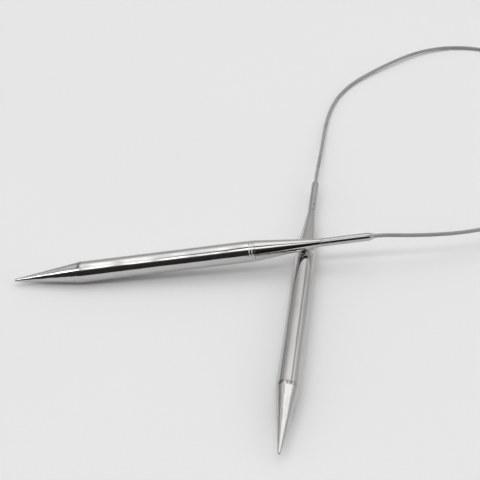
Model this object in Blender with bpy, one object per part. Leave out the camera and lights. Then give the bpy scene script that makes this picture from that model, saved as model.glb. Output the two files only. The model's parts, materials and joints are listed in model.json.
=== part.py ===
"""Circular knitting needle: two hollow steel needles on one flexible cable, with a swivel at each join."""

import math

import bmesh
import bpy
import numpy as np
from mathutils import Vector

# Driving dimensions, in metres. A station is a distance along a needle from its point.
SHAFT_RADIUS = 0.0035
TUBE_WALL = 0.0005
HOLLOW_TIP_START = 0.0090
HOLLOW_TIP_RADIUS = 0.0010
HOLLOW_WIDE_START = 0.0231
NOSE_RADIUS = 0.00045
FRONT_CONE_END = 0.0216
TUBE_END = 0.0780
JOIN_START = 0.1000
NECK_RADIUS = 0.00135
COLLAR_LENGTH = 0.0026
FERRULE_END = 0.1178
CHAMFER_LENGTH = 0.0020
CABLE_RADIUS = 0.00065
CORE_RADIUS = 0.00035
JACKET_WALL = 0.00015
GAP = 0.0003

# Rolled crimp that locks the rear cone in the tube
GROOVE_STATIONS = (0.0765, 0.07735)
GROOVE_HALF_WIDTH = 0.0002
GROOVE_DEPTH = 0.00012

# Rear cone: a spigot inside the tube, and a blind bore for the swivel pin's head
SPIGOT_START = 0.0675
CONE_BORE_START = 0.0905
CONE_BORE_RADIUS = 0.0010

# Swivel pin, and the bores that its stem passes through
HEAD_START = 0.0915
HEAD_LENGTH = 0.0030
HEAD_RADIUS = 0.0008
STEM_END = 0.1075
STEM_RADIUS = 0.00035
STEM_BORE_RADIUS = 0.00055
COLLAR_SPIGOT_RADIUS = 0.0008

# The ferrule's two blind bores, with a web between them
PIN_BORE_END = 0.1080
CORE_BORE_START = 0.1090
CORE_START = 0.1095

# Where the needles lie: B flat on the table, A across it with its shoulder on the table
NEEDLE_SIDES = 24
SMALL_SIDES = 16
FLAT_HEIGHT = SHAFT_RADIUS * math.cos(math.pi / NEEDLE_SIDES)
SLOPE_A = math.radians(4.35)
HEADING_A = math.radians(5.67)
HEADING_B = math.radians(81.4)
POINT_A_XY = (-0.05846, 0.00805)
POINT_B_XY = (0.02469, -0.05842)
SHOULDER_LIFT = 0.00001

# The cable's route from ferrule A, down to the table, round in one loop and back to ferrule B
CABLE_ROUTE = (
    (0.0655, 0.0200, 0.0108),
    (0.0748, 0.0209, 0.0101),
    (0.0907, 0.0244, 0.0086),
    (0.1057, 0.0306, 0.0070),
    (0.1196, 0.0390, 0.0054),
    (0.1322, 0.0491, 0.0038),
    (0.1430, 0.0611, 0.0023),
    (0.1516, 0.0748, 0.0012),
    (0.1574, 0.0898, 0.0008),
    (0.1598, 0.1058, 0.0007),
    (0.1584, 0.1218, 0.0007),
    (0.1529, 0.1370, 0.0007),
    (0.1433, 0.1499, 0.0007),
    (0.1301, 0.1591, 0.0007),
    (0.1144, 0.1622, 0.0009),
    (0.0988, 0.1582, 0.0013),
    (0.0852, 0.1495, 0.0015),
    (0.0726, 0.1394, 0.0012),
    (0.0612, 0.1278, 0.0008),
    (0.0536, 0.1139, 0.0007),
    (0.0493, 0.0984, 0.0009),
    (0.0465, 0.0825, 0.0017),
    (0.0437, 0.0665, 0.0030),
)
CABLE_POINTS = 78


def clear_scene():
    for thing in list(bpy.data.objects):
        bpy.data.objects.remove(thing, do_unlink=True)


def make_material(name, colour, metallic, roughness):
    material = bpy.data.materials.new(name)
    material.use_nodes = True
    shader = material.node_tree.nodes["Principled BSDF"]
    shader.inputs["Base Color"].default_value = (*colour, 1.0)
    shader.inputs["Metallic"].default_value = metallic
    shader.inputs["Roughness"].default_value = roughness
    material.diffuse_color = (*colour, 1.0)
    return material


def link(name, data, material, parent):
    """Adds an object under its parent empty, with its origin on the needle's axis."""
    thing = bpy.data.objects.new(name, data)
    bpy.context.scene.collection.objects.link(thing)
    if data:
        data.materials.append(material)
    thing.parent = parent
    return thing


def turned(name, outline, material, parent, sides):
    """Spins an outline of (station, radius) about the needle's axis, with a flat facing straight down.

    An outline that starts and ends on the axis makes a blind piece, and any other makes a ring.
    """
    shape = bmesh.new()
    half_step = math.pi / sides
    across = Vector((math.cos(half_step), math.sin(half_step), 0))
    along = Vector((0, 0, 1))
    corners = [shape.verts.new(across * radius + along * station) for station, radius in outline]
    edges = [shape.edges.new(pair) for pair in zip(corners, corners[1:])]
    if outline[0][1] > 0:
        edges.append(shape.edges.new((corners[-1], corners[0])))
    bmesh.ops.spin(
        shape, geom=corners + edges, cent=(0, 0, 0), axis=along, angle=math.tau, steps=sides, use_merge=True
    )
    bmesh.ops.remove_doubles(shape, verts=shape.verts, dist=1e-7)
    bmesh.ops.recalc_face_normals(shape, faces=shape.faces)
    mesh = bpy.data.meshes.new(name)
    shape.to_mesh(mesh)
    shape.free()
    mesh.shade_smooth()
    mesh.set_sharp_from_angle(angle=math.radians(30))
    return link(name, mesh, material, parent)


def front_cone():
    """The rounded nose, and the cone up to the shoulder."""
    lean = math.atan((SHAFT_RADIUS - NOSE_RADIUS) / (FRONT_CONE_END - NOSE_RADIUS))
    turns = np.linspace(0, math.pi / 2 - lean, 4)
    nose = [(NOSE_RADIUS * (1 - math.cos(turn)), NOSE_RADIUS * math.sin(turn)) for turn in turns]
    return nose + [(FRONT_CONE_END, SHAFT_RADIUS)]


def shaft_outline():
    outline = front_cone()
    for station in GROOVE_STATIONS:
        outline.append((station - GROOVE_HALF_WIDTH, SHAFT_RADIUS))
        outline.append((station, SHAFT_RADIUS - GROOVE_DEPTH))
        outline.append((station + GROOVE_HALF_WIDTH, SHAFT_RADIUS))
    inside = SHAFT_RADIUS - TUBE_WALL
    outline += [(TUBE_END, SHAFT_RADIUS), (TUBE_END, inside), (HOLLOW_WIDE_START, inside)]
    return outline + [(HOLLOW_TIP_START, HOLLOW_TIP_RADIUS), (HOLLOW_TIP_START - TUBE_WALL, 0)]


def rear_cone_outline():
    spigot = SHAFT_RADIUS - TUBE_WALL - GAP
    shoulder = TUBE_END + GAP
    return [
        (SPIGOT_START, 0),
        (SPIGOT_START, spigot - TUBE_WALL),
        (SPIGOT_START + TUBE_WALL, spigot),
        (shoulder, spigot),
        (shoulder, SHAFT_RADIUS),
        (JOIN_START, NECK_RADIUS),
        (JOIN_START, CONE_BORE_RADIUS),
        (CONE_BORE_START, CONE_BORE_RADIUS),
        (CONE_BORE_START, 0),
    ]


def collar_outline():
    front = HEAD_START + HEAD_LENGTH + GAP
    flange = JOIN_START + GAP
    return [
        (front, COLLAR_SPIGOT_RADIUS),
        (flange, COLLAR_SPIGOT_RADIUS),
        (flange, NECK_RADIUS),
        (flange + COLLAR_LENGTH, NECK_RADIUS),
        (flange + COLLAR_LENGTH, STEM_BORE_RADIUS),
        (front, STEM_BORE_RADIUS),
    ]


def pin_outline():
    head_end = HEAD_START + HEAD_LENGTH
    return [
        (HEAD_START, 0),
        (HEAD_START, HEAD_RADIUS),
        (head_end, HEAD_RADIUS),
        (head_end, STEM_RADIUS),
        (STEM_END, STEM_RADIUS),
        (STEM_END, 0),
    ]


def ferrule_outline():
    """A sleeve with a pin bore at the front and a core bore at the back, drawn as one closed section."""
    front = JOIN_START + COLLAR_LENGTH + 2 * GAP
    return [
        (PIN_BORE_END, 0),
        (PIN_BORE_END, STEM_BORE_RADIUS),
        (front, STEM_BORE_RADIUS),
        (front, NECK_RADIUS),
        (FERRULE_END - CHAMFER_LENGTH, NECK_RADIUS),
        (FERRULE_END, CABLE_RADIUS + JACKET_WALL),
        (FERRULE_END, STEM_BORE_RADIUS),
        (CORE_BORE_START, STEM_BORE_RADIUS),
        (CORE_BORE_START, 0),
    ]


def direction(heading, slope):
    return Vector(
        (math.cos(slope) * math.cos(heading), math.cos(slope) * math.sin(heading), math.sin(slope))
    )


def axis_empty(name, point, along):
    """An empty at a needle's point, with +Z along the needle and -X towards the table."""
    empty = link(name, None, None, None)
    empty.location = point
    empty.rotation_mode = "QUATERNION"
    empty.rotation_quaternion = along.to_track_quat("Z", "X")
    return empty


def make_end(side, point, along, steel, crimp_steel):
    """One needle, which turns, and the pin and ferrule, which stay with the cable."""
    needle = axis_empty(f"needle_{side}_axis", point, along)
    join = axis_empty(f"join_{side}_axis", point, along)
    turned(f"needle_shaft_{side}", shaft_outline(), steel, needle, NEEDLE_SIDES)
    turned(f"rear_cone_{side}", rear_cone_outline(), steel, needle, NEEDLE_SIDES)
    turned(f"swivel_collar_{side}", collar_outline(), crimp_steel, needle, SMALL_SIDES)
    turned(f"swivel_pin_{side}", pin_outline(), crimp_steel, join, SMALL_SIDES)
    turned(f"cable_ferrule_{side}", ferrule_outline(), crimp_steel, join, SMALL_SIDES)


def second_derivatives(stations, values, first_slope, last_slope):
    """The clamped cubic spline's second derivatives, one row for each point."""
    steps = np.diff(stations)
    count = len(stations)
    matrix = np.zeros((count, count))
    right = np.zeros((count, 3))
    slopes = np.diff(values, axis=0) / steps[:, None]
    matrix[0, 0] = 2 * steps[0]
    matrix[0, 1] = steps[0]
    right[0] = 6 * (slopes[0] - first_slope)
    for row in range(1, count - 1):
        matrix[row, row - 1] = steps[row - 1]
        matrix[row, row] = 2 * (steps[row - 1] + steps[row])
        matrix[row, row + 1] = steps[row]
        right[row] = 6 * (slopes[row] - slopes[row - 1])
    matrix[-1, -2] = steps[-1]
    matrix[-1, -1] = 2 * steps[-1]
    right[-1] = 6 * (last_slope - slopes[-1])
    return np.linalg.solve(matrix, right)


def smooth_route(points, first_slope, last_slope, count):
    """Evenly spaced points on the cubic spline through the route's points."""
    values = np.array(points)
    stations = np.concatenate([[0], np.cumsum(np.linalg.norm(np.diff(values, axis=0), axis=1))])
    bends = second_derivatives(stations, values, np.array(first_slope), np.array(last_slope))
    smooth = []
    for station in np.linspace(0, stations[-1], count):
        row = min(int(np.searchsorted(stations, station, side="right")) - 1, len(stations) - 2)
        step = stations[row + 1] - stations[row]
        ahead = (station - stations[row]) / step
        behind = 1 - ahead
        straight = behind * values[row] + ahead * values[row + 1]
        curved = (behind**3 - behind) * bends[row] + (ahead**3 - ahead) * bends[row + 1]
        smooth.append(straight + curved * step**2 / 6)
    return smooth


def cord(name, points, radius, wall, material):
    """A tube along the points, solid or with a wall of the given thickness."""
    curve = bpy.data.curves.new(name, "CURVE")
    curve.dimensions = "3D"
    curve.bevel_depth = radius
    curve.bevel_resolution = 2
    curve.use_fill_caps = wall is None
    spline = curve.splines.new("POLY")
    spline.points.add(len(points) - 1)
    for place, point in zip(spline.points, points):
        place.co = (*point, 1)
    thing = link(name, curve, material, None)
    if wall is not None:
        hollow = thing.modifiers.new("hollow", "SOLIDIFY")
        hollow.thickness = wall
        hollow.offset = -1
        hollow.use_even_offset = False
    return thing


def make_cable(ends, nylon, strand_steel):
    """The nylon jacket between the ferrules, and the steel core that runs through it into both of them."""
    (point_a, along_a), (point_b, along_b) = ends
    jacket_start = FERRULE_END + GAP
    route = [point_a + along_a * jacket_start, *CABLE_ROUTE, point_b + along_b * jacket_start]
    points = smooth_route(route, along_a, -along_b, CABLE_POINTS)
    core_ends = [point_a + along_a * CORE_START, point_b + along_b * CORE_START]
    cord("cable_jacket", points, CABLE_RADIUS, JACKET_WALL, nylon)
    cord("cable_core", [core_ends[0], *points, core_ends[1]], CORE_RADIUS, None, strand_steel)


def main():
    clear_scene()
    steel = make_material("polished_steel", (0.78, 0.78, 0.79), 1.0, 0.08)
    crimp_steel = make_material("join_steel", (0.62, 0.62, 0.63), 1.0, 0.22)
    nylon = make_material("cable_nylon", (0.30, 0.31, 0.32), 0.0, 0.35)
    strand_steel = make_material("strand_steel", (0.55, 0.55, 0.56), 1.0, 0.35)
    along_a = direction(HEADING_A, SLOPE_A)
    along_b = direction(HEADING_B, 0)
    height_a = FLAT_HEIGHT * math.cos(SLOPE_A) - FRONT_CONE_END * math.sin(SLOPE_A) + SHOULDER_LIFT
    point_a = Vector((*POINT_A_XY, height_a))
    point_b = Vector((*POINT_B_XY, FLAT_HEIGHT))
    make_end("a", point_a, along_a, steel, crimp_steel)
    make_end("b", point_b, along_b, steel, crimp_steel)
    make_cable(((point_a, along_a), (point_b, along_b)), nylon, strand_steel)


main()
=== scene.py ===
"""Looks of the circular knitting needle: turned steel needles, swivel joins and the coated cable."""

import json
import math

import bmesh
import bpy
import numpy as np
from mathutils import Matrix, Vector


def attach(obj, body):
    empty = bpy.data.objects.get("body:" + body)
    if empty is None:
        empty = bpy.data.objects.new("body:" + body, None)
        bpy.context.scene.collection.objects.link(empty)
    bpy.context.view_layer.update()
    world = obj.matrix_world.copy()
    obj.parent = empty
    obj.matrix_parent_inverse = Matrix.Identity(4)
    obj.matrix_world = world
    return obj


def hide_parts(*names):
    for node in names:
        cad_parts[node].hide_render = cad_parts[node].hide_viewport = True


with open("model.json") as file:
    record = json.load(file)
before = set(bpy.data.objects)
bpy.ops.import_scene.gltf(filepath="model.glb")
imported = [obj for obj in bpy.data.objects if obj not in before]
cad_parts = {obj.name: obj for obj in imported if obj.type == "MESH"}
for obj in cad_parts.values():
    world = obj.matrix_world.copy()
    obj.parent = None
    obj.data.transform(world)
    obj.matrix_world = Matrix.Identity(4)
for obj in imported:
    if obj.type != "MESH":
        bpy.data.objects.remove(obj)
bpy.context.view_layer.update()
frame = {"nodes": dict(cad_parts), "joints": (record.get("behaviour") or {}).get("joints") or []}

# The part's own dimensions, in metres. A station is a distance along a needle from its point.
SHAFT_RADIUS = 0.0035
TUBE_WALL = 0.0005
HOLLOW_TIP_START = 0.0090
HOLLOW_TIP_RADIUS = 0.0010
HOLLOW_WIDE_START = 0.0231
NOSE_RADIUS = 0.00045
FRONT_CONE_END = 0.0216
TUBE_END = 0.0780
JOIN_START = 0.1000
NECK_RADIUS = 0.00135
COLLAR_LENGTH = 0.0026
FERRULE_END = 0.1178
CHAMFER_LENGTH = 0.0020
CABLE_RADIUS = 0.00065
JACKET_WALL = 0.00015
GAP = 0.0003
GROOVE_STATIONS = (0.0765, 0.07735)
SPIGOT_START = 0.0675
CONE_BORE_START = 0.0905
CONE_BORE_RADIUS = 0.0010
HEAD_END = 0.0945
COLLAR_SPIGOT_RADIUS = 0.0008
STEM_BORE_RADIUS = 0.00055
PIN_BORE_END = 0.1080
CORE_BORE_START = 0.1090

# Detail that the plain CAD solids leave out. A seam is the hairline between two pieces that meet.
SEAM = 0.00010
SWIVEL_SEAM = 0.00018
SHOULDER_ROUNDING = 0.0030
GROOVE_HALF_WIDTH = 0.00020
GROOVE_DEPTH = 0.00010
CONE_EDGE_ROUNDING = 0.0012
EDGE_ROUNDING = 0.00006
GROOVE_ROUNDING = 0.00008
SHOULDER_LINE = 0.0011
SMALL_ROUNDING = 0.0001
MOUTH_RADIUS = 0.00071
MOUTH_DEPTH = 0.0012
TUBE_LIP = TUBE_END + (GAP - SEAM) / 2
CONE_LIP = JOIN_START + (GAP - SWIVEL_SEAM) / 2
COLLAR_LIP = JOIN_START + COLLAR_LENGTH + GAP + (GAP - SWIVEL_SEAM) / 2
JACKET_ENTRY = 0.0010
SIDES = 128
SMALL_SIDES = 72
CABLE_SIDES = 20
CABLE_STEP = 0.0007

# Textures on the steel: noise cells in a metre, across and across and along a piece
HAZE_SCALE = 170.0
WIPE_SCALE = (900.0, 900.0, 55.0)
RING_SCALE = (60.0, 60.0, 9000.0)
HAIR_SCALE = (5200.0, 5200.0, 70.0)
NICK_SCALE = (2600.0, 2600.0, 420.0)
RIPPLE_SCALE = (260.0, 260.0, 75.0)
STROKE_SCALE = (1300.0, 1300.0, 230.0)
STROKE_DEPTH = 0.00006
PATCH_SCALE = (620.0, 620.0, 420.0)
NICK_ROUGHNESS = 0.12
RING_ROUGHNESS = 0.012
# Dark colour painted as shade in a broken ring on top of each needle's shoulder
SHOULDER_SHADE_COLOUR = (0.07, 0.068, 0.065, 1.0)

# The cable: its strand's turns in a metre and wires, the textures on wire and nylon, and their depths
STRAND_TURNS = 170.0
STRAND_WIRES = 7
LAY_SCALE = (5200.0, 5200.0, 2400.0)
GRIME_SCALE = 420.0
LAY_DEPTH = 0.00003
NYLON_CLOUD_SCALE = 95.0
NYLON_SPECK_SCALE = 2600.0
LAY_SHADE = 0.16
NYLON_LAY_DEPTH = 0.000010
SPECK_DEPTH = 0.000012

# The cable's route between the two ferrules, as in the part
CABLE_ROUTE = (
    (0.0655, 0.0200, 0.0108),
    (0.0748, 0.0209, 0.0101),
    (0.0907, 0.0244, 0.0086),
    (0.1057, 0.0306, 0.0070),
    (0.1196, 0.0390, 0.0054),
    (0.1322, 0.0491, 0.0038),
    (0.1430, 0.0611, 0.0023),
    (0.1516, 0.0748, 0.0012),
    (0.1574, 0.0898, 0.0008),
    (0.1598, 0.1058, 0.0007),
    (0.1584, 0.1218, 0.0007),
    (0.1529, 0.1370, 0.0007),
    (0.1433, 0.1499, 0.0007),
    (0.1301, 0.1591, 0.0007),
    (0.1144, 0.1622, 0.0009),
    (0.0988, 0.1582, 0.0013),
    (0.0852, 0.1495, 0.0015),
    (0.0726, 0.1394, 0.0012),
    (0.0612, 0.1278, 0.0008),
    (0.0536, 0.1139, 0.0007),
    (0.0493, 0.0984, 0.0009),
    (0.0465, 0.0825, 0.0017),
    (0.0437, 0.0665, 0.0030),
)

# Camera: where it stands, where it looks, and its lens
CAMERA_PLACE = Vector((0.0145, -0.18252, 0.19005))
CAMERA_AIM = Vector((0.0145, 0.0297, 0.0))
LENS_MM = 62.083
SENSOR_MM = 36.0

scene = bpy.context.scene
joints = {joint["name"]: joint for joint in frame["joints"]}
AXES = {
    side: (
        Vector(joints[f"swivel_{side}"]["pos_m"]),
        Vector(joints[f"swivel_{side}"]["axis"]).normalized(),
    )
    for side in ("a", "b")
}


def link_object(name, data):
    thing = bpy.data.objects.new(name, data)
    scene.collection.objects.link(thing)
    return thing


def station_point(side, station):
    point, along = AXES[side]
    return point + along * station


# ---------------------------------------------------------------- camera
def make_camera():
    data = bpy.data.cameras.new("camera")
    data.lens = LENS_MM
    data.sensor_width = SENSOR_MM
    data.clip_start = 0.01
    data.clip_end = 100
    camera = link_object("camera", data)
    camera.location = CAMERA_PLACE
    camera.rotation_mode = "QUATERNION"
    camera.rotation_quaternion = (CAMERA_AIM - CAMERA_PLACE).to_track_quat("-Z", "Y")
    scene.camera = camera


# ---------------------------------------------------------------- shader helpers
class Graph:
    """A node tree with short calls to add a node and to join it to others."""

    def __init__(self, tree):
        self.tree = tree

    def add(self, kind, inputs=None, **settings):
        node = self.tree.nodes.new(kind)
        for key, value in settings.items():
            setattr(node, key, value)
        for key, value in (inputs or {}).items():
            if isinstance(value, bpy.types.NodeSocket):
                self.tree.links.new(value, node.inputs[key])
            else:
                node.inputs[key].default_value = value
        return node

    def math(self, operation, first, second=0.0, third=0.0):
        node = self.add("ShaderNodeMath", {0: first, 1: second, 2: third}, operation=operation)
        return node.outputs[0]

    def mapped(self, value, low, high, out_low, out_high, smooth=False):
        kind = "SMOOTHSTEP" if smooth else "LINEAR"
        node = self.add(
            "ShaderNodeMapRange",
            {"Value": value, "From Min": low, "From Max": high, "To Min": out_low, "To Max": out_high},
            interpolation_type=kind,
        )
        return node.outputs[0]

    def noise(self, vector, scale, detail, roughness):
        node = self.add(
            "ShaderNodeTexNoise",
            {"Vector": vector, "Scale": scale, "Detail": detail, "Roughness": roughness},
        )
        return node.outputs["Fac"]

    def stretched(self, vector, scale):
        node = self.add("ShaderNodeMapping", {"Vector": vector, "Scale": scale})
        return node.outputs["Vector"]

    def ramp(self, value, stops):
        node = self.add("ShaderNodeValToRGB", {"Fac": value})
        band = node.color_ramp
        while len(band.elements) > 1:
            band.elements.remove(band.elements[-1])
        for index, (place, colour) in enumerate(stops):
            stop = band.elements[0] if index == 0 else band.elements.new(place)
            stop.position = place
            stop.color = (*colour, 1.0)
        return node.outputs["Color"]


def new_material(name):
    material = bpy.data.materials.new(name)
    material.use_nodes = True
    graph = Graph(material.node_tree)
    return material, graph, material.node_tree.nodes["Principled BSDF"]


def object_place(graph):
    return graph.add("ShaderNodeTexCoord").outputs["Object"]


def painted_shoulder_shade(graph, place, strength):
    """Painted shade on top of a needle's shoulder: a short broken dark ring where the highlight breaks. A
    piece's own +X is its top.
    """
    parts = graph.add("ShaderNodeSeparateXYZ", {"Vector": place}).outputs
    off_shoulder = graph.math("ABSOLUTE", graph.math("SUBTRACT", parts[2], FRONT_CONE_END))
    ring = graph.mapped(off_shoulder, SHOULDER_LINE * 0.3, SHOULDER_LINE, strength, 0.0, True)
    on_top = graph.mapped(parts[0], SHAFT_RADIUS * 0.40, SHAFT_RADIUS * 0.75, 0.0, 1.0, True)
    patches = graph.noise(graph.stretched(place, PATCH_SCALE), 1.0, 2.0, 0.5)
    broken = graph.math("MULTIPLY", ring, graph.mapped(patches, 0.40, 0.56, 0.0, 1.0, True))
    return graph.math("MULTIPLY", broken, on_top)


def polish_strokes(graph, place, strength):
    """Strokes that run along the front cone and stop at the shoulder."""
    station = graph.add("ShaderNodeSeparateXYZ", {"Vector": place}).outputs[2]
    on_cone = graph.mapped(station, FRONT_CONE_END - SHOULDER_LINE, FRONT_CONE_END, strength, 0.0, True)
    strokes = graph.noise(graph.stretched(place, STROKE_SCALE), 1.0, 2.0, 0.5)
    return graph.math("MULTIPLY", strokes, on_cone)


def steel_material(name, colour, tarnish, rough_low, rough_high, ripple, lathe, scratch, shoulder):
    """Turned steel: hand-polish ripple, rings from the lathe, long scratches, a little handling haze and a
    painted-shade ring on top of the shoulder.

    The piece's own +Z runs along its axis, so rings vary along Z only and scratches hardly vary along Z.
    """
    material, graph, shader = new_material(name)
    place = object_place(graph)
    haze = graph.noise(place, HAZE_SCALE, 4.0, 0.62)
    wipe = graph.noise(graph.stretched(place, WIPE_SCALE), 1.0, 3.0, 0.6)
    rings = graph.noise(graph.stretched(place, RING_SCALE), 1.0, 2.0, 0.5)
    hairs = graph.noise(graph.stretched(place, HAIR_SCALE), 1.0, 2.0, 0.55)
    nicks = graph.noise(graph.stretched(place, NICK_SCALE), 1.0, 1.0, 0.5)
    nick_mask = graph.mapped(nicks, 0.66, 0.74, 0.0, 1.0, True)
    wear = graph.math("MULTIPLY", haze, wipe)
    worn = graph.mapped(wear, 0.16, 0.38, 0.0, 1.0)
    rough = graph.mapped(worn, 0.0, 1.0, rough_low, rough_high)
    rough = graph.math("ADD", rough, graph.math("MULTIPLY", nick_mask, NICK_ROUGHNESS))
    rough = graph.math("ADD", rough, graph.mapped(rings, 0.35, 0.65, -RING_ROUGHNESS, RING_ROUGHNESS))
    graph.tree.links.new(rough, shader.inputs["Roughness"])
    tone = graph.add("ShaderNodeMix", {"A": (*colour, 1.0), "B": (*tarnish, 1.0)}, data_type="RGBA")
    graph.tree.links.new(graph.mapped(worn, 0.35, 1.0, 0.0, 0.75), tone.inputs["Factor"])
    # Painted shade: the dark ring on top of the shoulder is mixed into the base colour
    shoulder_shade = graph.add(
        "ShaderNodeMix",
        {"Factor": painted_shoulder_shade(graph, place, shoulder), "A": tone.outputs["Result"], "B": SHOULDER_SHADE_COLOUR},
        data_type="RGBA",
    )
    graph.tree.links.new(shoulder_shade.outputs["Result"], shader.inputs["Base Color"])
    shader.inputs["Metallic"].default_value = 1.0
    waves = graph.noise(graph.stretched(place, RIPPLE_SCALE), 1.0, 1.0, 0.4)
    bump = graph.add("ShaderNodeBump", {"Strength": 1.0, "Distance": ripple, "Height": waves})
    strokes = polish_strokes(graph, place, shoulder)
    for depth, height in ((STROKE_DEPTH, strokes), (lathe, rings), (scratch, hairs)):
        bump = graph.add(
            "ShaderNodeBump",
            {"Strength": 1.0, "Distance": depth, "Height": height, "Normal": bump.outputs[0]},
        )
    graph.tree.links.new(bump.outputs[0], shader.inputs["Normal"])
    return material


def strand_material():
    """Bare wire strand: bright lays of wire with rougher hollows between them, the hollows darkened by
    painted shade, with patchy grime.
    """
    material, graph, shader = new_material("bare_strand")
    place = object_place(graph)
    lay = graph.noise(graph.stretched(place, LAY_SCALE), 1.0, 2.0, 0.5)
    grime = graph.noise(place, GRIME_SCALE, 3.0, 0.6)
    lay_grime_and_shade = graph.math("MULTIPLY", lay, grime)
    # Painted shade: the colour darkens in the hollows between wires, with real grime patches over it
    colour = graph.ramp(lay_grime_and_shade, ((0.10, (0.20, 0.20, 0.20)), (0.42, (0.48, 0.475, 0.465))))
    graph.tree.links.new(colour, shader.inputs["Base Color"])
    graph.tree.links.new(graph.mapped(lay_grime_and_shade, 0.1, 0.45, 0.48, 0.26), shader.inputs["Roughness"])
    shader.inputs["Metallic"].default_value = 1.0
    bump = graph.add("ShaderNodeBump", {"Strength": 1.0, "Distance": LAY_DEPTH, "Height": lay})
    graph.tree.links.new(bump.outputs[0], shader.inputs["Normal"])
    return material


def nylon_material():
    """Grey nylon drawn over wire strand: the strand's lay shows faintly as a slow spiral."""
    material, graph, shader = new_material("nylon_over_strand")
    uv = graph.add("ShaderNodeUVMap", uv_map="around_and_along").outputs[0]
    split = graph.add("ShaderNodeSeparateXYZ", {"Vector": uv})
    along, around = split.outputs[0], split.outputs[1]
    turn = graph.math("MULTIPLY_ADD", along, STRAND_TURNS, around)
    lays = graph.math("SINE", graph.math("MULTIPLY", turn, STRAND_WIRES * math.tau))
    place = object_place(graph)
    cloud = graph.noise(place, NYLON_CLOUD_SCALE, 4.0, 0.6)
    speck = graph.noise(place, NYLON_SPECK_SCALE, 3.0, 0.6)
    shade = graph.math("ADD", graph.math("MULTIPLY", lays, LAY_SHADE), cloud)
    colour = graph.ramp(
        shade,
        ((0.22, (0.270, 0.268, 0.265)), (0.50, (0.340, 0.338, 0.334)), (0.80, (0.410, 0.407, 0.402))),
    )
    graph.tree.links.new(colour, shader.inputs["Base Color"])
    graph.tree.links.new(graph.mapped(cloud, 0.3, 0.7, 0.24, 0.36), shader.inputs["Roughness"])
    shader.inputs["IOR"].default_value = 1.53
    shader.inputs["Specular IOR Level"].default_value = 0.6
    bump = graph.add("ShaderNodeBump", {"Strength": 1.0, "Distance": NYLON_LAY_DEPTH, "Height": lays})
    bump = graph.add(
        "ShaderNodeBump",
        {"Strength": 1.0, "Distance": SPECK_DEPTH, "Height": speck, "Normal": bump.outputs[0]},
    )
    graph.tree.links.new(bump.outputs[0], shader.inputs["Normal"])
    return material


# ---------------------------------------------------------------- the cable
def second_derivatives(stations, values, first_slope, last_slope):
    """The clamped cubic spline's second derivatives, one row for each point."""
    steps = np.diff(stations)
    count = len(stations)
    matrix = np.zeros((count, count))
    right = np.zeros((count, 3))
    slopes = np.diff(values, axis=0) / steps[:, None]
    matrix[0, 0] = 2 * steps[0]
    matrix[0, 1] = steps[0]
    right[0] = 6 * (slopes[0] - first_slope)
    for row in range(1, count - 1):
        matrix[row, row - 1] = steps[row - 1]
        matrix[row, row] = 2 * (steps[row - 1] + steps[row])
        matrix[row, row + 1] = steps[row]
        right[row] = 6 * (slopes[row] - slopes[row - 1])
    matrix[-1, -2] = steps[-1]
    matrix[-1, -1] = 2 * steps[-1]
    right[-1] = 6 * (last_slope - slopes[-1])
    return np.linalg.solve(matrix, right)


def smooth_route(points, first_slope, last_slope):
    """Evenly spaced points on the cubic spline through the route's points."""
    values = np.array(points)
    stations = np.concatenate([[0], np.cumsum(np.linalg.norm(np.diff(values, axis=0), axis=1))])
    bends = second_derivatives(stations, values, np.array(first_slope), np.array(last_slope))
    smooth = []
    for station in np.linspace(0, stations[-1], math.ceil(stations[-1] / CABLE_STEP)):
        row = min(int(np.searchsorted(stations, station, side="right")) - 1, len(stations) - 2)
        step = stations[row + 1] - stations[row]
        ahead = (station - stations[row]) / step
        behind = 1 - ahead
        straight = behind * values[row] + ahead * values[row + 1]
        curved = (behind**3 - behind) * bends[row] + (ahead**3 - ahead) * bends[row + 1]
        smooth.append(straight + curved * step**2 / 6)
    return smooth


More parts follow.
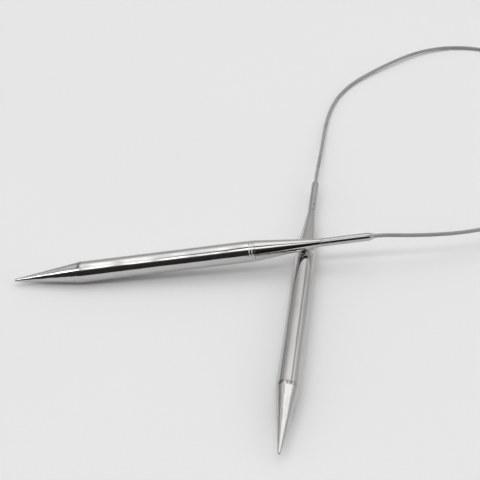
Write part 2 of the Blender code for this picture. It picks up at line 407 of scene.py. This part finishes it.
def tube_along(name, points, outer, inner):
    """A hollow tube whose rings stand square to the line through the points."""
    line = np.array(points)
    run = np.concatenate([[0], np.cumsum(np.linalg.norm(np.diff(line, axis=0), axis=1))])
    tangents = np.gradient(line, run, axis=0)
    tangents /= np.linalg.norm(tangents, axis=1)[:, None]
    side = np.cross(tangents[0], (0, 0, 1))
    rings = []
    for centre, tangent in zip(line, tangents):
        side = side - tangent * float(side @ tangent)
        side /= np.linalg.norm(side)
        up = np.cross(tangent, side)
        turns = np.linspace(0, math.tau, CABLE_SIDES, endpoint=False)
        spokes = np.outer(np.cos(turns), side) + np.outer(np.sin(turns), up)
        rings.append((centre + spokes * outer, centre + spokes * inner))
    shape = bmesh.new()
    uv = shape.loops.layers.uv.new("around_and_along")
    outside = [[shape.verts.new(spot) for spot in ring[0]] for ring in rings]
    inside = [[shape.verts.new(spot) for spot in ring[1]] for ring in rings]

    def face(corners, spots):
        made = shape.faces.new(corners)
        made.smooth = True
        for loop, spot in zip(made.loops, spots):
            loop[uv].uv = spot

    for row in range(len(rings) - 1):
        for edge in range(CABLE_SIDES):
            other = (edge + 1) % CABLE_SIDES
            low, high = edge / CABLE_SIDES, (edge + 1) / CABLE_SIDES
            near, far = run[row], run[row + 1]
            spots = ((near, low), (near, high), (far, high), (far, low))
            face(
                (outside[row][edge], outside[row][other], outside[row + 1][other], outside[row + 1][edge]),
                spots,
            )
            face(
                (inside[row][other], inside[row][edge], inside[row + 1][edge], inside[row + 1][other]),
                (spots[1], spots[0], spots[3], spots[2]),
            )
    for row, flip in ((0, True), (len(rings) - 1, False)):
        for edge in range(CABLE_SIDES):
            other = (edge + 1) % CABLE_SIDES
            corners = (outside[row][edge], outside[row][other], inside[row][other], inside[row][edge])
            low, high = edge / CABLE_SIDES, (edge + 1) / CABLE_SIDES
            spots = ((run[row], low), (run[row], high), (run[row], high), (run[row], low))
            face(corners[::-1] if flip else corners, spots[::-1] if flip else spots)
    bmesh.ops.recalc_face_normals(shape, faces=shape.faces)
    mesh = bpy.data.meshes.new(name)
    shape.to_mesh(mesh)
    shape.free()
    mesh.set_sharp_from_angle(angle=math.radians(50))
    return link_object(name, mesh)


def make_cable():
    jacket_start = FERRULE_END + GAP
    entry = FERRULE_END - JACKET_ENTRY
    along_a, along_b = AXES["a"][1], AXES["b"][1]
    route = [station_point("a", jacket_start), *CABLE_ROUTE, station_point("b", jacket_start)]
    points = smooth_route(route, along_a, -along_b)
    points = [station_point("a", entry), *points, station_point("b", entry)]
    cable = tube_along("cable_jacket_drawn", points, CABLE_RADIUS, CABLE_RADIUS - JACKET_WALL)
    cable.data.materials.append(nylon_material())
    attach(cable, "cable_and_ferrules")
    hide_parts("cable_jacket")


# ---------------------------------------------------------------- turned pieces
def rounded(corners, closed=False):
    """An outline of (station, radius, rounding) corners, with each corner turned into a curve."""
    flat = [np.array(corner[:2]) for corner in corners]
    count = len(corners)
    smooth = []
    for index, here in enumerate(flat):
        rounding = corners[index][2]
        if rounding <= 0 or (not closed and index in (0, count - 1)):
            smooth.append(here)
            continue
        to_before = flat[index - 1] - here
        to_after = flat[(index + 1) % count] - here
        before_length, after_length = np.linalg.norm(to_before), np.linalg.norm(to_after)
        to_before, to_after = to_before / before_length, to_after / after_length
        opening = math.acos(max(-1.0, min(1.0, float(to_before @ to_after))))
        reach = min(rounding / math.tan(opening / 2), 0.48 * before_length, 0.48 * after_length)
        bend = math.pi - opening
        steps = max(3, math.ceil(math.degrees(bend) / 10))
        start, end = here + to_before * reach, here + to_after * reach
        for step in range(steps + 1):
            share = step / steps
            first, last = start + (here - start) * share, here + (end - here) * share
            smooth.append(first + (last - first) * share)
    return smooth


def divided(outline, longest, support):
    """Adds points along straight stretches, one of them close to each end, for true shading at corners."""
    made = [outline[0]]
    for here, after in zip(outline, outline[1:]):
        length = float(np.linalg.norm(after - here))
        if length > 4 * support:
            count = max(1, math.ceil((length - 2 * support) / longest))
            for share in np.linspace(support / length, 1 - support / length, count + 1):
                made.append(here + (after - here) * share)
        made.append(after)
    return made


def turned(name, outline, side, sides):
    """Spins an outline about a needle's axis, with its origin at the needle's point and +Z along it."""
    shape = bmesh.new()
    columns = []
    for turn in np.linspace(0, math.tau, sides, endpoint=False):
        columns.append((math.cos(turn), math.sin(turn)))
    rings = []
    for station, radius in outline:
        if radius < 1e-9:
            rings.append([shape.verts.new((0, 0, station))])
        else:
            rings.append([shape.verts.new((radius * x, radius * y, station)) for x, y in columns])
    pairs = list(zip(rings, rings[1:]))
    if len(rings[0]) > 1:
        pairs.append((rings[-1], rings[0]))
    for before, after in pairs:
        for index in range(sides):
            other = (index + 1) % sides
            if len(before) == 1:
                shape.faces.new((before[0], after[index], after[other]))
            elif len(after) == 1:
                shape.faces.new((before[other], before[index], after[0]))
            else:
                shape.faces.new((before[other], before[index], after[index], after[other]))
    bmesh.ops.recalc_face_normals(shape, faces=shape.faces)
    mesh = bpy.data.meshes.new(name)
    shape.to_mesh(mesh)
    shape.free()
    mesh.shade_smooth()
    thing = link_object(name, mesh)
    point, along = AXES[side]
    thing.location = point
    thing.rotation_mode = "QUATERNION"
    thing.rotation_quaternion = along.to_track_quat("Z", "X")
    return thing


def shaft_outline():
    lean = math.atan((SHAFT_RADIUS - NOSE_RADIUS) / (FRONT_CONE_END - NOSE_RADIUS))
    nose = [
        (NOSE_RADIUS * (1 - math.cos(turn)), NOSE_RADIUS * math.sin(turn), 0)
        for turn in np.linspace(0, math.pi / 2 - lean, 12)
    ]
    corners = [(FRONT_CONE_END, SHAFT_RADIUS, SHOULDER_ROUNDING)]
    for station in GROOVE_STATIONS:
        corners.append((station - GROOVE_HALF_WIDTH, SHAFT_RADIUS, GROOVE_ROUNDING))
        corners.append((station, SHAFT_RADIUS - GROOVE_DEPTH, GROOVE_ROUNDING))
        corners.append((station + GROOVE_HALF_WIDTH, SHAFT_RADIUS, GROOVE_ROUNDING))
    inside = SHAFT_RADIUS - TUBE_WALL
    corners += [
        (TUBE_LIP, SHAFT_RADIUS, EDGE_ROUNDING),
        (TUBE_LIP, inside, EDGE_ROUNDING),
        (HOLLOW_WIDE_START, inside, EDGE_ROUNDING),
        (HOLLOW_TIP_START, HOLLOW_TIP_RADIUS, EDGE_ROUNDING),
        (HOLLOW_TIP_START - TUBE_WALL, 0, 0),
    ]
    return divided(rounded(nose + corners), 0.0015, 0.00004)


def rear_cone_outline():
    spigot = SHAFT_RADIUS - TUBE_WALL - GAP
    shoulder = TUBE_LIP + SEAM
    corners = [
        (SPIGOT_START, 0, 0),
        (SPIGOT_START, spigot - TUBE_WALL, EDGE_ROUNDING),
        (SPIGOT_START + TUBE_WALL, spigot, EDGE_ROUNDING),
        (shoulder, spigot, EDGE_ROUNDING),
        (shoulder, SHAFT_RADIUS, EDGE_ROUNDING),
        (CONE_LIP, NECK_RADIUS, EDGE_ROUNDING),
        (CONE_LIP, CONE_BORE_RADIUS, EDGE_ROUNDING),
        (CONE_BORE_START, CONE_BORE_RADIUS, EDGE_ROUNDING),
        (CONE_BORE_START, 0, 0),
    ]
    return divided(rounded(corners), 0.0015, 0.00004)


def collar_outline():
    front = HEAD_END + GAP
    flange = CONE_LIP + SWIVEL_SEAM
    corners = [
        (front, COLLAR_SPIGOT_RADIUS, EDGE_ROUNDING),
        (flange, COLLAR_SPIGOT_RADIUS, EDGE_ROUNDING),
        (flange, NECK_RADIUS, SMALL_ROUNDING),
        (COLLAR_LIP, NECK_RADIUS, SMALL_ROUNDING),
        (COLLAR_LIP, STEM_BORE_RADIUS, EDGE_ROUNDING),
        (front, STEM_BORE_RADIUS, EDGE_ROUNDING),
    ]
    return divided(rounded(corners, closed=True), 0.0006, 0.00003)


def ferrule_outline():
    front = COLLAR_LIP + SWIVEL_SEAM
    corners = [
        (PIN_BORE_END, 0, 0),
        (PIN_BORE_END, STEM_BORE_RADIUS, EDGE_ROUNDING),
        (front, STEM_BORE_RADIUS, EDGE_ROUNDING),
        (front, NECK_RADIUS, SMALL_ROUNDING),
        (FERRULE_END - CHAMFER_LENGTH, NECK_RADIUS, CONE_EDGE_ROUNDING),
        (FERRULE_END, CABLE_RADIUS + JACKET_WALL, EDGE_ROUNDING),
        (FERRULE_END, MOUTH_RADIUS, EDGE_ROUNDING / 2),
        (FERRULE_END - MOUTH_DEPTH, MOUTH_RADIUS, EDGE_ROUNDING),
        (FERRULE_END - MOUTH_DEPTH, STEM_BORE_RADIUS, EDGE_ROUNDING),
        (CORE_BORE_START, STEM_BORE_RADIUS, EDGE_ROUNDING),
        (CORE_BORE_START, 0, 0),
    ]
    return divided(rounded(corners), 0.0008, 0.00003)


def add_turned(name, outline, side, sides, material, body, node):
    piece = turned(name, outline, side, sides)
    piece.data.materials.append(material)
    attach(piece, body)
    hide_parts(node)


def make_needles():
    polished = steel_material(
        "polished_needle_steel",
        colour=(0.577, 0.568, 0.557),
        tarnish=(0.505, 0.496, 0.485),
        rough_low=0.035,
        rough_high=0.11,
        ripple=0.00012,
        lathe=0.0000003,
        scratch=0.0000004,
        # Strength of the painted shade ring on the shoulder, and of the polish strokes
        shoulder=0.75,
    )
    joined = steel_material(
        "turned_join_steel",
        colour=(0.515, 0.506, 0.495),
        tarnish=(0.412, 0.403, 0.394),
        rough_low=0.07,
        rough_high=0.17,
        ripple=0.00005,
        lathe=0.0000012,
        scratch=0.0000006,
        shoulder=0.0,
    )
    for side in ("a", "b"):
        needle = f"needle_{side}"
        cable = "cable_and_ferrules"
        tube, taper = f"needle_shaft_{side}", f"rear_cone_{side}"
        collar, sleeve = f"swivel_collar_{side}", f"cable_ferrule_{side}"
        rows = (
            (f"needle_tube_{side}", shaft_outline(), SIDES, polished, needle, tube, "polished_steel"),
            (f"taper_{side}", rear_cone_outline(), SIDES, polished, needle, taper, "polished_steel"),
            (f"collar_{side}", collar_outline(), SMALL_SIDES, joined, needle, collar, "join_steel"),
            (f"ferrule_{side}", ferrule_outline(), SMALL_SIDES, joined, cable, sleeve, "join_steel"),
        )
        for name, outline, sides, material, body, node, slot in rows:
            add_turned(name, outline, side, sides, material, body, node)
        pin = frame["nodes"][f"swivel_pin_{side}"]
        pin.data.materials.clear()
        pin.data.materials.append(joined)
    core = frame["nodes"]["cable_core"]
    core.data.materials.clear()
    core.data.materials.append(strand_material())


# ---------------------------------------------------------------- the studio
FLOOR_HALF = 20.0
FIBRE_SCALE = 900.0
FIBRE_DEPTH = 0.00004
FLOOR_CLOUD_SCALE = 6.0
FLOOR_TONE = 0.80

# The room is lit by direction as the table sees it. Angles are degrees from the front horizon over the
# top to the back one. Places to the left and right run from -1 at the far left to 1 at the far right.
ROOM = (
    (0, 0.040),
    (44, 0.040),
    (53, 0.07),
    (60, 0.30),
    (65, 1.00),
    (76, 0.95),
    (82, 0.80),
    (92, 0.78),
    (118, 0.95),
    (128, 1.30),
    (138, 0.96),
    (148, 0.68),
    (168, 0.60),
    (180, 0.60),
)
ROOM_SCALE = 2.0
ROOM_EXPOSURE = 0.78
INSIDE_EDGES = (-0.96, -0.80, 0.56, 0.84)
SIDE_TONE = 0.76

# Each soft box: angles where it fades in and out, places where it does, its tone and its lamps' tone
SOFT_BOXES = (
    ((62.0, 67.0, 76.0, 80.0), (-0.75, -0.66, 0.20, 0.36), 0.35, 2.3),
    ((61.0, 65.0, 76.0, 81.0), (-0.80, -0.70, -0.42, -0.33), 3.4, 0.0),
    ((77.0, 81.0, 90.0, 95.0), (-0.38, -0.32, -0.21, -0.05), 0.7, 0.6),
    ((91.0, 96.0, 119.0, 127.0), (-0.38, -0.32, 0.72, 0.85), 0.45, 1.05),
)

# The lamps in the soft boxes: lamps for each unit of place, and how far the rows lean with the angle
LAMP_RATE = 19.0
LAMP_RATE_GROWTH = 15.6
LAMP_START = 0.088
LAMP_LEAN = 0.00151
LAMPS_LEFT_END = -0.10
LAMPS_END = (0.0, 0.06)

# The dark gap between two rows of soft boxes
GAP_ANGLE = 85.5
GAP_HALF_WIDTH = 5.0
GAP_CORE = 0.6
GAP_ENDS = (-0.16, -0.07)
GAP_DEPTH = 0.95

# The window at the far left, the dim part of the front right and the pale screen beyond it
LEFT_TONE = 1.8
LEFT_EDGE = (-0.84, -0.72)
LEFT_TOP = (95.0, 110.0)
RIGHT_EDGES = (0.20, 0.36, 0.58, 0.72)
RIGHT_TOP = (90.0, 97.0)
RIGHT_DARKENING = 0.70
SCREEN_TONE = 2.0
SCREEN_EDGE = (0.60, 0.74)
SCREEN_ANGLES = (20.0, 40.0, 95.0, 110.0)

# The back wall and the post in front of it
WALL_MIDDLE = 0.12
WALL_TONE = 1.14
WALL_FALL = 0.48
WALL_EDGE = (112.0, 122.0)
POST_PLACE = 0.43
POST_HALF_WIDTH = 0.15
POST_CORE = 0.3
POST_TONE = 0.50
POST_TOP = (136.0, 147.0)


def make_studio():
    """World light: a dark front, lamps behind cloth above it, a window at the left and a pale back wall."""
    world = bpy.data.worlds.new("studio")
    world.use_nodes = True
    scene.world = world
    tree = world.node_tree
    tree.nodes.clear()
    graph = Graph(tree)
    ray = graph.add("ShaderNodeTexCoord").outputs["Generated"]
    split = graph.add("ShaderNodeSeparateXYZ", {"Vector": ray})
    x, y, z = split.outputs
    turn = graph.math("ARCTAN2", z, graph.math("MULTIPLY", y, -1.0))
    degrees = graph.math("MULTIPLY", turn, 180 / math.pi)

    def window(value, edges):
        rise = graph.mapped(value, edges[0], edges[1], 0.0, 1.0, True)
        fall = graph.mapped(value, edges[2], edges[3], 1.0, 0.0, True)
        return graph.math("MULTIPLY", rise, fall)

    stops = [(angle / 180, (level / ROOM_SCALE,) * 3) for angle, level in ROOM]
    room = graph.ramp(graph.math("DIVIDE", degrees, 180.0), stops)
    level = graph.math("MULTIPLY", room, ROOM_SCALE)

    # The back wall darkens to the left, and one dark post stands at its right
    to_left = graph.math("MINIMUM", graph.math("SUBTRACT", x, WALL_MIDDLE), 0.0)
    wall = graph.math("MULTIPLY", graph.math("MULTIPLY", to_left, to_left), -WALL_FALL)
    off_post = graph.math("ABSOLUTE", graph.math("SUBTRACT", x, POST_PLACE))
    post = graph.mapped(off_post, POST_HALF_WIDTH * POST_CORE, POST_HALF_WIDTH, POST_TONE - 1.0, 0.0, True)
    post = graph.math("MULTIPLY_ADD", post, graph.mapped(degrees, *POST_TOP, 1.0, 0.0, True), 1.0)
    wall = graph.math("MULTIPLY", graph.math("ADD", wall, WALL_TONE), post)
    on_wall = graph.mapped(degrees, *WALL_EDGE, 0.0, 1.0, True)
    wall_only = graph.add("ShaderNodeMix", {"Factor": on_wall, "A": 1.0, "B": wall}, data_type="FLOAT")
    level = graph.math("MULTIPLY", level, wall_only.outputs["Result"])

    # Lamps stand closer together towards the right
    reach = graph.math("MULTIPLY_ADD", degrees, LAMP_LEAN, graph.math("ADD", x, LAMP_START))
    reach = graph.math("MAXIMUM", reach, LAMPS_LEFT_END)
    rate = graph.math("MULTIPLY_ADD", reach, LAMP_RATE_GROWTH, LAMP_RATE)
    place = graph.math("MULTIPLY", reach, rate)
    lamp = graph.math("MULTIPLY", graph.math("COSINE", graph.math("MULTIPLY", place, math.tau)), 0.5)
    lamp = graph.math("MULTIPLY_ADD", lamp, graph.mapped(x, *LAMPS_END, 1.0, 0.0, True), 0.5)
    for angles, ends, dim, extra in SOFT_BOXES:
        box = graph.math("MULTIPLY", window(degrees, angles), window(x, ends))
        glow = graph.math("MULTIPLY_ADD", lamp, extra, dim)
        level = graph.math("MULTIPLY_ADD", box, glow, level)

    off_gap = graph.math("ABSOLUTE", graph.math("SUBTRACT", degrees, GAP_ANGLE))
    line = graph.mapped(off_gap, GAP_HALF_WIDTH * GAP_CORE, GAP_HALF_WIDTH, 1.0, 0.0, True)
    line = graph.math("MULTIPLY", line, graph.mapped(x, *GAP_ENDS, 0.0, GAP_DEPTH, True))
    level = graph.math("MULTIPLY", level, graph.math("SUBTRACT", 1.0, line))

    inside = window(x, INSIDE_EDGES)
    side = graph.math("MULTIPLY", graph.math("SUBTRACT", 1.0, inside), SIDE_TONE)
    level = graph.math("MULTIPLY_ADD", level, inside, side)

    # The front right is dim, a window at the far left lights the table, and a pale screen stands far right
    dim = graph.math("MULTIPLY", window(x, RIGHT_EDGES), RIGHT_DARKENING)
    dim = graph.math("MULTIPLY", dim, graph.mapped(degrees, *RIGHT_TOP, 1.0, 0.0, True))
    level = graph.math("MULTIPLY", level, graph.math("SUBTRACT", 1.0, dim))
    below_top = graph.mapped(degrees, *LEFT_TOP, 1.0, 0.0, True)
    bright = graph.math("MULTIPLY", graph.mapped(x, *LEFT_EDGE, LEFT_TONE, 0.0, True), below_top)
    level = graph.math("MAXIMUM", level, bright)
    screen = graph.mapped(x, *SCREEN_EDGE, 0.0, SCREEN_TONE, True)
    screen = graph.math("MULTIPLY", screen, window(degrees, SCREEN_ANGLES))
    level = graph.math("MULTIPLY", graph.math("MAXIMUM", level, screen), ROOM_EXPOSURE)

    seen = graph.add("ShaderNodeLightPath").outputs["Is Camera Ray"]
    backdrop = graph.add("ShaderNodeMix", {"A": level, "B": FLOOR_TONE}, data_type="FLOAT")
    tree.links.new(seen, backdrop.inputs["Factor"])
    white = (1.0, 1.0, 1.0, 1.0)
    light = graph.add("ShaderNodeBackground", {"Color": white, "Strength": backdrop.outputs[0]})
    out = graph.add("ShaderNodeOutputWorld")
    tree.links.new(light.outputs[0], out.inputs["Surface"])


def make_floor():
    material, graph, shader = new_material("pale_paper")
    place = object_place(graph)
    fibre = graph.noise(place, FIBRE_SCALE, 4.0, 0.6)
    cloud = graph.noise(place, FLOOR_CLOUD_SCALE, 2.0, 0.5)
    tone = graph.ramp(cloud, ((0.3, (0.935, 0.935, 0.935)), (0.7, (0.950, 0.950, 0.950))))
    graph.tree.links.new(tone, shader.inputs["Base Color"])
    shader.inputs["Roughness"].default_value = 0.85
    shader.inputs["Specular IOR Level"].default_value = 0.15
    bump = graph.add("ShaderNodeBump", {"Strength": 0.4, "Distance": FIBRE_DEPTH, "Height": fibre})
    graph.tree.links.new(bump.outputs[0], shader.inputs["Normal"])
    mesh = bpy.data.meshes.new("floor")
    half = FLOOR_HALF
    corners = [(-half, -half, 0), (half, -half, 0), (half, half, 0), (-half, half, 0)]
    mesh.from_pydata(corners, [], [(0, 1, 2, 3)])
    mesh.materials.append(material)
    link_object("floor", mesh)


make_camera()
make_cable()
make_needles()
make_floor()
make_studio()
scene.view_settings.view_transform = "Standard"

bpy.context.view_layer.update()
